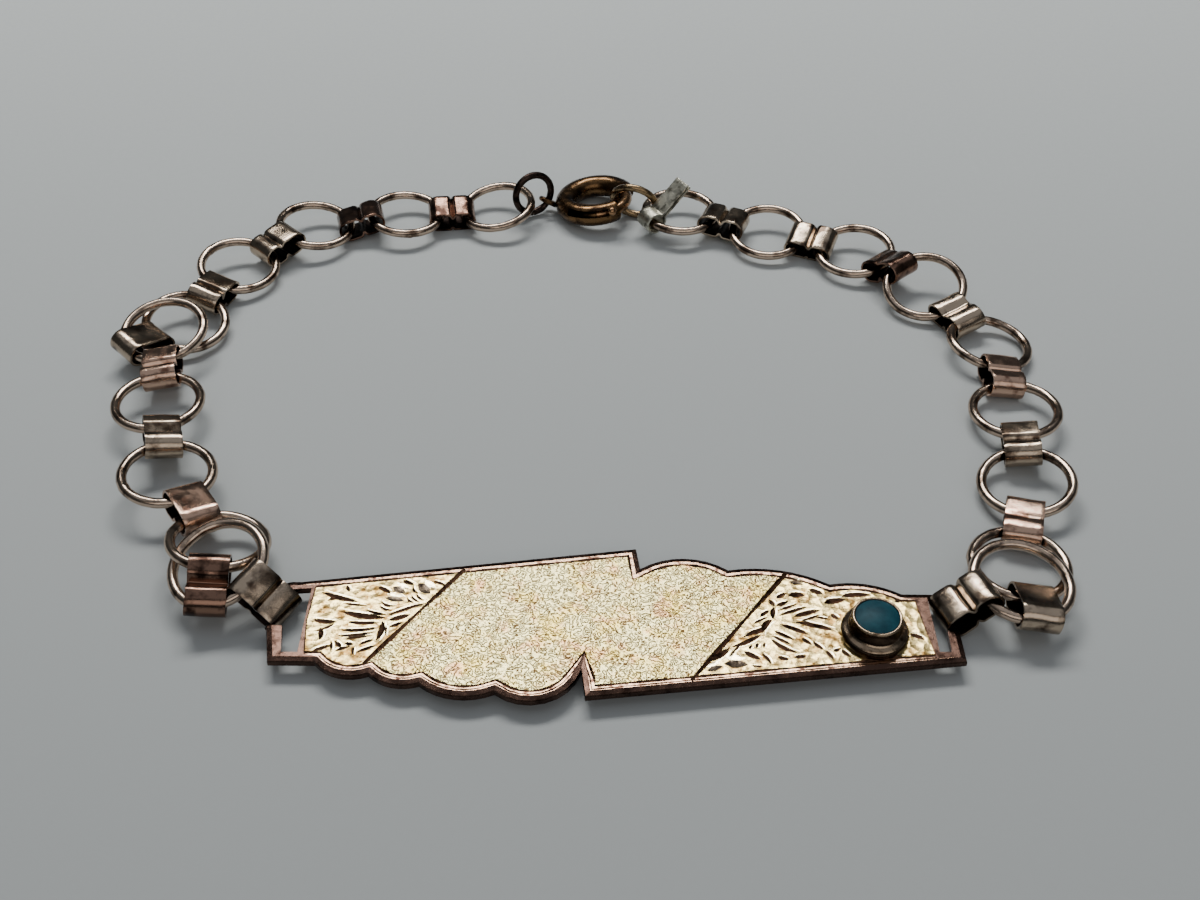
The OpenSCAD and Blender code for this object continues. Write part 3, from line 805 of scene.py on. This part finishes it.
def engravedSheet():  # the sheet with its slots and cuts, each cut with its own material
    body = workpiece("sheet", bareSheet(), "rim")
    tools = [workpiece("slots", prism(leftSlot, -2, 1), "rim"),
             workpiece("otherSlot", prism(rightSlot, -2, 1), "rim"),
             workpiece("scoops", scoops(), "facet"), workpiece("leaves", broadLeaves(), "leaf"),
             workpiece("cuts", engraving(), "cut")]
    holders = [looseParts(tool) for tool in tools]
    for holder in holders:
        cut = body.modifiers.new(holder.name, "BOOLEAN")
        cut.operation = "DIFFERENCE"
        cut.operand_type = "COLLECTION"
        cut.collection = holder
        cut.solver = "MANIFOLD"
        cut.material_mode = "TRANSFER"
    mesh = applied(body)
    bpy.data.objects.remove(body)
    for holder in holders:
        for tool in list(holder.objects):
            bpy.data.objects.remove(tool)
        bpy.data.collections.remove(holder)
    return mesh


def nameplate():
    mesh = engravedSheet()
    bm = bmesh.new()
    bm.from_mesh(mesh)
    bmesh.ops.triangulate(bm, faces=bm.faces)
    order = ["rim", "cut", "panel", "matted", "facet", "ridge", "leaf"]
    names = [m.name for m in mesh.materials]
    cutFinishes = {names.index(finishes[k].name): k for k in ("cut", "facet", "leaf")}
    field = [tuple(p) for p in upperBorder + lowerBorder]
    ridgeStart, ridgeEnd = plateShape["ridge"]
    flat = []
    for face in bm.faces:
        middle = face.calc_center_median()
        onTop = face.normal.z > 0.99 and abs(middle.z) < 0.01
        if face.material_index in cutFinishes:
            finish = cutFinishes[face.material_index]
        elif onTop and inPolygon(middle.x, middle.y, field):
            finish = "matted" if inPolygon(middle.x, middle.y, centrePanel) else "panel"
        # the flat top band outside the field takes the ridge's lighter gold: a painted highlight
        elif onTop and ridgeStart < middle.x < ridgeEnd:
            finish = "ridge"
        # everything else takes the rim's dark gold: brown tarnish deepened as painted shade
        else:
            finish = "rim"
        face.material_index = order.index(finish)
        flat.append(face.normal.z > 0.9 and finish in ("rim", "panel", "matted", "ridge"))
    x, y = plateShape["origin"]
    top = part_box("nameplate")[0].z + plateShape["thickness"] * mm
    bm.transform(Matrix.Translation((x * mm, y * mm, top)) @ Matrix.Scale(mm, 4))
    piece = makePiece("plate", bm, order, ["nameplate"], smooth=25)
    for polygon, isFlat in zip(piece.data.polygons, flat):  # the sheet stays flat beside its cuts
        polygon.use_smooth = not isFlat


nameplate()
print("plate done")

# The worn bars that the end straps ride on: a point in the bracelet's frame, a direction in degrees,
# and the reach either way
wornBars = {
    "left": ((-16.204, -19.369, 0.922), 78, -1.6, 1.5),
    "right": ((20.996, -19.819, 0.922), 92, -1.6, 1.25),
}
barShape = {"diameter": 0.35, "sides": 20, "cuts": 8, "wobble": (0.012, 1.3)}


def bars():
    bm = bmesh.new()
    radius = barShape["diameter"] / 2
    for point, turn, start, end in wornBars.values():
        way = Vector((math.cos(math.radians(turn)), math.sin(math.radians(turn)), 0))
        middle = Vector(point) + way * (start + end) / 2
        lie = Matrix.Translation(middle) @ aboutZ(turn) @ Matrix.Rotation(math.pi / 2, 4, "Y")
        made = bmesh.ops.create_cone(bm, cap_ends=True, segments=barShape["sides"], radius1=radius,
                                     radius2=radius, depth=end - start, matrix=lie)
        long = [e for e in {e for v in made["verts"] for e in v.link_edges} if e.calc_length() > 1]
        bmesh.ops.subdivide_edges(bm, edges=long, cuts=barShape["cuts"], use_grid_fill=True)
    reach, often = barShape["wobble"]
    for vert in bm.verts:
        vert.co += reach * noise.noise_vector(vert.co * often)
    bm.transform(Matrix.Scale(mm, 4))
    makePiece("plateBars", bm, ["rim"], [])


bars()

bezelShape = {
    "at": (14.2, -0.95),          # from the plate's own origin
    # half section of foot, step and cup: radius, height above the plate
    "section": [(1.80, -0.02), (1.84, 0.14), (1.84, 0.34), (1.79, 0.46), (1.68, 0.54), (1.55, 0.58),
                (1.44, 0.68), (1.37, 0.86), (1.33, 1.06), (1.32, 1.26), (1.35, 1.34), (1.37, 1.41),
                (1.34, 1.47), (1.27, 1.49), (1.21, 1.46), (1.205, 0.9)],
    "foot": -0.02, "floor": 0.9,  # heights of the foot and of the cup's floor
    "inside": 1.2,                # the cup's inner radius, which stays true
    "dents": (0.02, 1.4),         # how far the skin wanders, and how often it turns in a millimetre
    "waves": (0.015, 1.1),        # the same for the height of its lip
    "lip": 1.28,                  # what lies higher is the rubbed lip, painted lighter as a highlight
    "ledge": (0.44, 0.66),        # between these heights is the ledge, rubbed and painted lighter as a highlight
    "stone": 1.18, "dome": 0.26,  # radius of the stone and rise of its dome
    "edge": 1.43, "seat": 0.92,   # heights of the dome's edge and of the stone's back
}


def turned(section, steps=72):  # a profile spun about Z into a skin
    bm = bmesh.new()
    verts = [bm.verts.new((r, 0, z)) for r, z in section]
    edges = [bm.edges.new(pair) for pair in zip(verts, verts[1:])]
    bmesh.ops.spin(bm, geom=verts + edges, cent=(0, 0, 0), axis=(0, 0, 1), angle=math.tau, steps=steps,
                   use_merge=True)
    bmesh.ops.remove_doubles(bm, verts=bm.verts, dist=0.0005)
    return bm


def bezelPlace():
    at = [(a + b) * mm for a, b in zip(plateShape["origin"], bezelShape["at"])]
    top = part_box("nameplate")[0].z + plateShape["thickness"] * mm
    return Matrix.Translation((at[0], at[1], top)) @ Matrix.Scale(mm, 4)


def bezel():
    bm = turned([(0, bezelShape["foot"])] + bezelShape["section"] + [(0, bezelShape["floor"])])
    dent, dentOften = bezelShape["dents"]
    wave, waveOften = bezelShape["waves"]
    for vert in bm.verts:
        flat = Vector((vert.co.x, vert.co.y, 0))
        if flat.length > bezelShape["inside"]:
            vert.co += flat.normalized() * dent * noise.noise(vert.co * dentOften)
            vert.co.z += wave * noise.noise(vert.co * waveOften + Vector((5, 0, 0)))
    low, high = bezelShape["ledge"]
    skins = ["bezel", "lip"]
    for face in bm.faces:  # the lip and the ledge are painted brighter: wear on the lip, and a painted highlight on both
        middle = face.calc_center_median()
        worn = middle.z > bezelShape["lip"] or low < middle.z < high
        if worn and middle.xy.length > bezelShape["inside"]:
            face.material_index = skins.index("lip")
    bm.transform(bezelPlace())
    makePiece("bezel", bm, skins, [], smooth=50)


def turquoise():
    radius, dome, edge, seat = (bezelShape[k] for k in ("stone", "dome", "edge", "seat"))
    ball = (radius * radius + dome * dome) / (2 * dome)
    tilt, steps = math.asin(radius / ball), 8
    turns = [tilt * k / steps for k in range(steps + 1)]
    arc = [(ball * math.sin(turn), edge + dome - ball + ball * math.cos(turn)) for turn in turns]
    bm = turned(arc + [(radius, seat), (0, seat)])
    bm.transform(bezelPlace())
    makePiece("turquoise", bm, ["stone"], ["turquoise"], smooth=50)


bezel()
turquoise()
print("bezel and stone done")

# The clasp in its own millimetres: it lies about Z, and its angles are in degrees
claspShape = {
    "radius": 2.38,               # of the tube's middle line
    "tube": 1.67, "bore": 1.02, "tubeSteps": 96, "tubeSides": 24,
    "mouth": (22, 307),           # the tube runs from the first of these to the second
    "bolt": 0.88, "boltFrom": -90, "boltTo": 30, "boltSteps": 40, "boltSides": 18, "boltEdge": 0.08,
    "knobAt": -67, "knobTilt": 30, "knobReach": 1.08, "knob": 0.34, "post": 0.19,   # radii of knob, post
    "slotFrom": -134, "slotTo": -60, "slotWidth": 0.54, "slotSteps": 24,
    "slotReach": (0.25, 1.6),     # the slot's cutter, from the tube's middle line outwards
    "lug": 0.62, "lugWire": 0.4, "lugAt": 176.5, "lugRise": 0.145, "lugTurn": 38, "lugTilt": 40,
    "lugSunk": 0.07,              # how deep the lug is soldered into the tube
    "wobble": (0.01, 1.2),
}
joint = frame["joints"][0]
claspAxis = Vector(joint["axis"]).normalized()
claspLean = math.acos(claspAxis.z)
claspRaised = math.atan2(-claspAxis.y, -claspAxis.x)
claspPlace = (Matrix.Translation(joint["pos_m"]) @ Matrix.Rotation(claspRaised, 4, "Z")
              @ Matrix.Rotation(-claspLean, 4, "Y") @ Matrix.Rotation(-claspRaised, 4, "Z")
              @ Matrix.Scale(mm, 4))


def bentRod(diameter, start, end, steps, sides, capped=True):  # round stock bent about the clasp's axis
    bm = bmesh.new()
    lie = (aboutZ(start) @ Matrix.Translation((claspShape["radius"], 0, 0))
           @ Matrix.Rotation(math.pi / 2, 4, "X"))
    section = bmesh.ops.create_circle(bm, segments=sides, radius=diameter / 2, matrix=lie)
    bmesh.ops.spin(bm, geom=section["verts"] + bm.edges[:], cent=(0, 0, 0), axis=(0, 0, 1),
                   angle=math.radians(end - start), steps=steps)
    if capped:
        bmesh.ops.holes_fill(bm, edges=bm.edges, sides=sides)
    bmesh.ops.recalc_face_normals(bm, faces=bm.faces)
    return bm


def knobSlot():  # the cutter for the slot that the knob slides in
    shape = claspShape
    half = shape["slotWidth"] / 2
    inner, outer = shape["slotReach"]
    bm = bmesh.new()
    section = ((inner, -half), (outer, -half), (outer, half), (inner, half))
    corners = [bm.verts.new((x, 0, z)) for x, z in section]
    face = bm.faces.new(corners)
    tilt = Matrix.Rotation(-math.radians(shape["knobTilt"]), 3, "Y")
    bmesh.ops.rotate(bm, verts=corners, cent=(0, 0, 0), matrix=tilt)
    bmesh.ops.translate(bm, verts=corners, vec=(shape["radius"], 0, 0))
    turn = Matrix.Rotation(math.radians(shape["slotFrom"]), 3, "Z")
    bmesh.ops.rotate(bm, verts=corners, cent=(0, 0, 0), matrix=turn)
    bmesh.ops.spin(bm, geom=[face], cent=(0, 0, 0), axis=(0, 0, 1),
                   angle=math.radians(shape["slotTo"] - shape["slotFrom"]), steps=shape["slotSteps"])
    bmesh.ops.recalc_face_normals(bm, faces=bm.faces)
    return bm


def claspLug():  # the small ring soldered to the tube's end
    shape = claspShape
    bm = wireRing(shape["lug"], shape["lugWire"], 48, 14)
    reach = shape["radius"] + shape["tube"] / 2 + shape["lug"] - shape["lugSunk"]
    bm.transform(aboutZ(shape["lugAt"]) @ Matrix.Translation((reach, 0, shape["lugRise"]))
                 @ aboutZ(shape["lugTurn"] - shape["lugAt"])
                 @ Matrix.Rotation(math.radians(shape["lugTilt"]), 4, "Y"))
    mesh = bpy.data.meshes.new("lug")
    bm.to_mesh(mesh)
    bm.free()
    return mesh


def claspTube():
    shape = claspShape
    start, end = shape["mouth"]
    rod = bentRod(shape["tube"], start, end, shape["tubeSteps"], shape["tubeSides"], capped=False)
    body = workpiece("tube", rod, "clasp")
    wall = body.modifiers.new("wall", "SOLIDIFY")
    wall.thickness = (shape["tube"] - shape["bore"]) / 2
    wall.offset = -1
    tool = workpiece("slot", knobSlot(), "clasp")
    cut = body.modifiers.new("slot", "BOOLEAN")
    cut.operation = "DIFFERENCE"
    cut.object = tool
    cut.solver = "EXACT"
    tube = bmesh.new()
    tube.from_mesh(applied(body))
    for used in (tool, body):
        bpy.data.objects.remove(used)
    tube.from_mesh(claspLug())
    reach, often = shape["wobble"]
    for vert in tube.verts:
        vert.co += reach * noise.noise_vector(vert.co * often)
    tube.transform(claspPlace)
    makePiece("claspTube", tube, ["clasp"], ["clasp_tube"], smooth=45)


def claspBolt():
    shape = claspShape
    bm = bentRod(shape["bolt"], shape["boltFrom"], shape["boltTo"], shape["boltSteps"],
                 shape["boltSides"])
    ends = [e for e in bm.edges
            if len(e.link_faces) == 2 and any(len(f.verts) > 4 for f in e.link_faces)]
    bmesh.ops.bevel(bm, geom=ends, offset=shape["boltEdge"], affect="EDGES", segments=3, profile=0.5,
                    material=-1)
    lie = (aboutZ(shape["knobAt"]) @ Matrix.Translation((shape["radius"], 0, 0))
           @ Matrix.Rotation(math.radians(90 - shape["knobTilt"]), 4, "Y"))
    reach = shape["knobReach"]
    bmesh.ops.create_cone(bm, cap_ends=True, segments=16, radius1=shape["post"], radius2=shape["post"],
                          depth=reach, matrix=lie @ Matrix.Translation((0, 0, reach / 2)))
    bmesh.ops.create_uvsphere(bm, u_segments=24, v_segments=14, radius=shape["knob"],
                              matrix=lie @ Matrix.Translation((0, 0, reach)))
    bm.transform(claspPlace)
    makePiece("claspBolt", bm, ["bolt"], ["clasp_bolt"], "bolt", smooth=50)


# The two loose rings at the clasp: radius of the wire's middle line, wire, and where the seam is
jumpWear = {"dent": 0.01, "seam": -0.05}   # an open seam, not soldered, is a small hollow
jumpRings = {
    "claspEye": {"node": "clasp_eye", "radius": 1.52, "wire": 0.54, "seamAt": 70,
                 "finish": "eye", "slot": "eye_metal"},
    "endRing": {"node": "end_ring", "radius": 1.68, "wire": 0.56, "seamAt": 200,
                "finish": "end", "slot": "end_metal"},
}


def jumpRing(name, node, radius, wire, seamAt, finish, slot):
    centre, (x, y, axis) = cadFrame(node)
    bm = wireRing(radius, wire, 72, 16)
    swellAlong(bm, radius, math.radians(seamAt), radius, jumpWear["dent"], jumpWear["seam"])
    bm.transform(placement(centre, x, axis.cross(x), axis))
    makePiece(name, bm, [finish], [node])


claspTube()
claspBolt()
for name, shape in jumpRings.items():
    jumpRing(name, **shape)
print("clasp done")

# Stage: pale paper, light from a window behind, the ceiling and the room in front, the photo's camera

stageLook = {
    "floorHalf": 1.5, "paperNearPaintedDim": "#AEB3B5", "paperFarPaintedLit": "#D9DFE0", "fibre": "#B9BFC1",
    "paintedLightFade": (-0.045, 0.075),      # painted light: the paper is painted paler from here to there, in metres, as if lit more at the back
    "room": "#8C9194", "roomStrength": 0.2,
}
lamps = {
    "window": {"place": (-0.03, 0.25, 0.36), "size": (0.30, 0.09), "power": 1.35, "colour": "#FFFDF8"},
    "ceiling": {"place": (0.0, 0.1, 0.7), "size": (1.2, 0.9), "power": 1.2, "colour": "#F4F8FF"},
    "room": {"place": (0.08, -0.42, 0.34), "size": (0.7, 0.3), "power": 0.65, "colour": "#FBF6F2"},
}


# Pale matt paper: faint fibres, no gloss, and painted light that makes it paler towards the back
def floorPaper():
    material, tree, place = newMaterial("pale paper with painted light falloff")
    fibres = patches(tree, place, 0.5, 5, 0.7, 0.35, 0.65, 0, 0.12)
    # painted light: the paper's colour runs from dim near to bright far, as the window would light it
    depth = addNode(tree, "ShaderNodeSeparateXYZ", {"Vector": place})
    far = addNode(tree, "ShaderNodeMapRange", {
        "Value": depth.outputs["Y"], "From Min": stageLook["paintedLightFade"][0], "From Max": stageLook["paintedLightFade"][1]})
    paper = addNode(tree, "ShaderNodeMix", {
        mixFactor: far.outputs["Result"], mixFirst: fromHex(stageLook["paperNearPaintedDim"]),
        mixSecond: fromHex(stageLook["paperFarPaintedLit"])}, data_type="RGBA")
    colour = addNode(tree, "ShaderNodeMix", {
        mixFactor: fibres, mixFirst: paper.outputs[mixResult],
        mixSecond: fromHex(stageLook["fibre"])}, data_type="RGBA")
    finishMaterial(tree, {
        "Base Color": colour.outputs[mixResult], "Roughness": 0.85, "Specular IOR Level": 0.2,
        "Normal": fineRelief(tree, place, 0.35, 4, 0.55, 0.1, 0.05)})
    return material


def softLight(name, place, size, power, colour):  # a soft lamp that looks at the middle of the loop
    light = bpy.data.lights.new(name, "AREA")
    light.shape = "RECTANGLE"
    light.size, light.size_y = size
    light.energy = power
    light.color = fromHex(colour)[:3]
    lamp = bpy.data.objects.new(name, light)
    bpy.context.scene.collection.objects.link(lamp)
    lamp.location = place
    lamp.rotation_euler = (-Vector(place)).to_track_quat("-Z", "Y").to_euler()


def stage():
    bm = bmesh.new()
    bmesh.ops.create_grid(bm, x_segments=1, y_segments=1, size=stageLook["floorHalf"])
    mesh = bpy.data.meshes.new("floor")
    bm.to_mesh(mesh)
    bm.free()
    mesh.materials.append(floorPaper())
    floor = bpy.data.objects.new("floor", mesh)
    bpy.context.scene.collection.objects.link(floor)
    world = bpy.data.worlds.new("room")
    bpy.context.scene.world = world
    world.use_nodes = True
    background = world.node_tree.nodes["Background"].inputs
    background["Color"].default_value = fromHex(stageLook["room"])
    background["Strength"].default_value = stageLook["roomStrength"]
    for name, lamp in lamps.items():
        softLight(name, **lamp)


# The camera that the photo's own perspective gives: focal length in its pixels, sensor width in
# millimetres, place in the bracelet's frame, and the angle that it looks down at
photoView = {
    "focal": 1348, "imageWidth": 1200, "sensor": 36, "place": (1.646, -69.119, 57.672), "down": 42.08,
}


def photoCamera():
    camera = bpy.data.cameras.new("camera")
    camera.sensor_width = photoView["sensor"]
    camera.lens = photoView["focal"] / photoView["imageWidth"] * photoView["sensor"]
    camera.clip_start = 0.001
    holder = bpy.data.objects.new("camera", camera)
    bpy.context.scene.collection.objects.link(holder)
    holder.location = [c * mm for c in photoView["place"]]
    holder.rotation_euler = (math.radians(90 - photoView["down"]), 0, 0)
    bpy.context.scene.camera = holder


stage()
photoCamera()
print("stage done")
